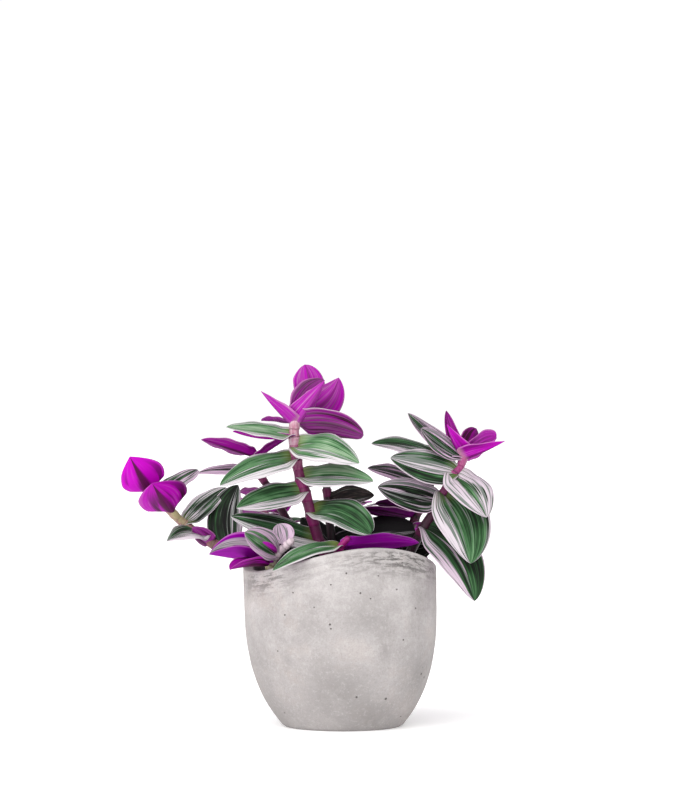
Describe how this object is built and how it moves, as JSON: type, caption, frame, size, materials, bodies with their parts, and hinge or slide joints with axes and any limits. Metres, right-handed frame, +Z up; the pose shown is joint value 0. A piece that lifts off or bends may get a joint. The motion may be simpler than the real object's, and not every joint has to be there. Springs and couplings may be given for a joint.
{
  "type": "potted tradescantia",
  "caption": "Trailing tradescantia with striped green leaves and magenta young crowns, in soil in a round cast-concrete pot with a wavy rim.",
  "frame": {"origin": "middle of the flat underside of the pot, on the surface it stands on", "axes": "+Z up, the pictured front faces -Y, +X to the right in the picture"},
  "size_m": [0.2757, 0.2106, 0.2633],
  "materials": {
    "concrete": "matte cast concrete, light warm grey with soft clouds and small pits",
    "soil": "crumbly dark potting mix",
    "foliage": "satin leaves striped green, white and pink, purple beneath",
    "young_foliage": "satin magenta young leaves with darker midribs"
  },
  "bodies": {
    "root": {"pot": "concrete", "soil": "soil", "stem_a": "foliage", "crown_a": "young_foliage", "stem_b": "foliage", "stem_c": "foliage", "stem_d": "foliage", "crown_d": "young_foliage", "stem_e": "foliage", "crown_e": "young_foliage", "stem_f": "foliage", "stem_g": "foliage", "crown_g": "young_foliage", "stem_h": "foliage", "stem_j": "foliage", "crown_j": "young_foliage", "stem_k": "foliage", "crown_k": "young_foliage", "stem_l": "foliage", "crown_l": "young_foliage"}
  },
  "joints": []
}
